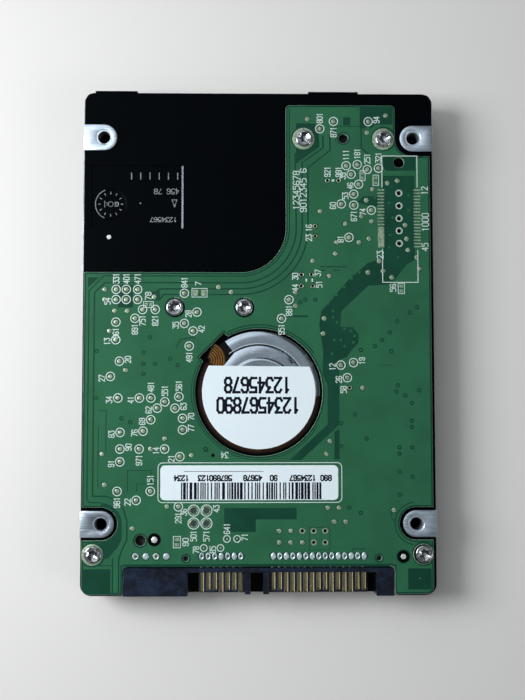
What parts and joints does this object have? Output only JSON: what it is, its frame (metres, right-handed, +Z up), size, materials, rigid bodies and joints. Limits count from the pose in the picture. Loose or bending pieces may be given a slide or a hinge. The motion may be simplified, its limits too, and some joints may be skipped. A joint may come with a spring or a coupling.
{
  "type": "hard disk drive",
  "caption": "Flat 2.5 inch hard disk drive with a circuit board, a serial connector, spinning platters and a swinging head arm.",
  "frame": {"origin": "centre of the outline, on the cover's outer face, which the drive lies on", "axes": "+Z up through the circuit board side, +Y along the length away from the serial connector, +X across the width"},
  "size_m": [0.0698, 0.1002, 0.0095],
  "materials": {
    "black_casting": "black painted die-cast aluminium",
    "bright_steel": "bright nickel-plated steel",
    "cover_metal": "brushed stamped plate",
    "spun_aluminium": "spun and machined aluminium",
    "platter_mirror": "mirror-polished sputtered disk",
    "gasket_rubber": "black moulded rubber",
    "label_paper": "white label and filter stock",
    "stator_steel": "plated electrical steel",
    "copper_wire": "enamelled copper wire",
    "bronze": "sintered bronze",
    "flex_film": "amber polyimide film over copper",
    "magnet_plating": "nickel-plated magnet",
    "black_plastic": "black moulded package",
    "ivory_plastic": "ivory moulded plastic",
    "board_green": "green solder mask over glass laminate",
    "navy_plastic": "dark navy moulded plastic",
    "gold_plating": "gold-plated contact",
    "solder": "tinned solder"
  },
  "bodies": {
    "drive": {"base_casting": "black_casting", "top_cover": "cover_metal", "cover_gasket": "gasket_rubber", "cover_screws": "bright_steel", "cover_label": "label_paper", "breather_filter": "label_paper", "recirculation_filter": "label_paper", "desiccant_pack": "label_paper", "motor_bracket": "spun_aluminium", "stator_core": "stator_steel", "stator_windings": "copper_wire", "bearing_sleeve": "bronze", "counter_plate": "bright_steel", "motor_flex": "flex_film", "motor_label": "label_paper", "bearing_inner_rings": "bright_steel", "bearing_balls": "bright_steel", "pivot_shaft": "bright_steel", "head_flex_cable": "flex_film", "flex_bracket": "cover_metal", "feedthrough_connector": "black_plastic", "cover_side_yoke": "stator_steel", "base_side_yoke": "stator_steel", "cover_side_magnet": "magnet_plating", "base_side_magnet": "magnet_plating", "yoke_posts": "bright_steel", "yoke_screws": "bright_steel", "load_ramp": "ivory_plastic", "ramp_screw": "bright_steel", "latch_pin": "bright_steel", "crash_stops": "gasket_rubber", "circuit_board": "board_green", "board_insulator": "gasket_rubber", "board_screws": "bright_steel", "connector_housing": "navy_plastic", "connector_contacts": "gold_plating", "jumper_pins": "gold_plating", "solder_joints": "solder", "controller_chip": "black_plastic", "motor_driver_chip": "black_plastic", "memory_chip": "black_plastic", "power_parts": "black_plastic", "barcode_label": "label_paper"},
    "rotor": {"spindle_hub": "spun_aluminium", "rotor_magnet": "magnet_plating", "spindle_shaft": "bright_steel", "platter_lower": "platter_mirror", "platter_upper": "platter_mirror", "platter_spacer": "spun_aluminium", "platter_clamp": "spun_aluminium", "clamp_screws": "bright_steel"},
    "actuator": {"arm_block": "spun_aluminium", "pivot_sleeve": "spun_aluminium", "bearing_outer_rings": "bright_steel", "voice_coil": "copper_wire", "coil_frame": "black_plastic", "suspensions": "bright_steel", "head_sliders": "black_plastic", "preamp_chip": "black_plastic"},
    "latch": {"latch_lever": "ivory_plastic"}
  },
  "joints": [
    {"name": "spindle_spin", "type": "hinge", "parent": "drive", "child": "rotor", "pos_m": [0, -0.01036, 0.004], "axis": [0, 0, 1], "continuous": true},
    {"name": "actuator_swing", "type": "hinge", "parent": "drive", "child": "actuator", "pos_m": [-0.0105, 0.0285, 0.0033], "axis": [0, 0, 1], "range_deg": [-33, 0], "deforming": ["head_flex_cable"]},
    {"name": "latch_swing", "type": "hinge", "parent": "drive", "child": "latch", "pos_m": [-0.0235, 0.021, 0.0033], "axis": [0, 0, 1], "range_deg": [-10, 0]}
  ]
}
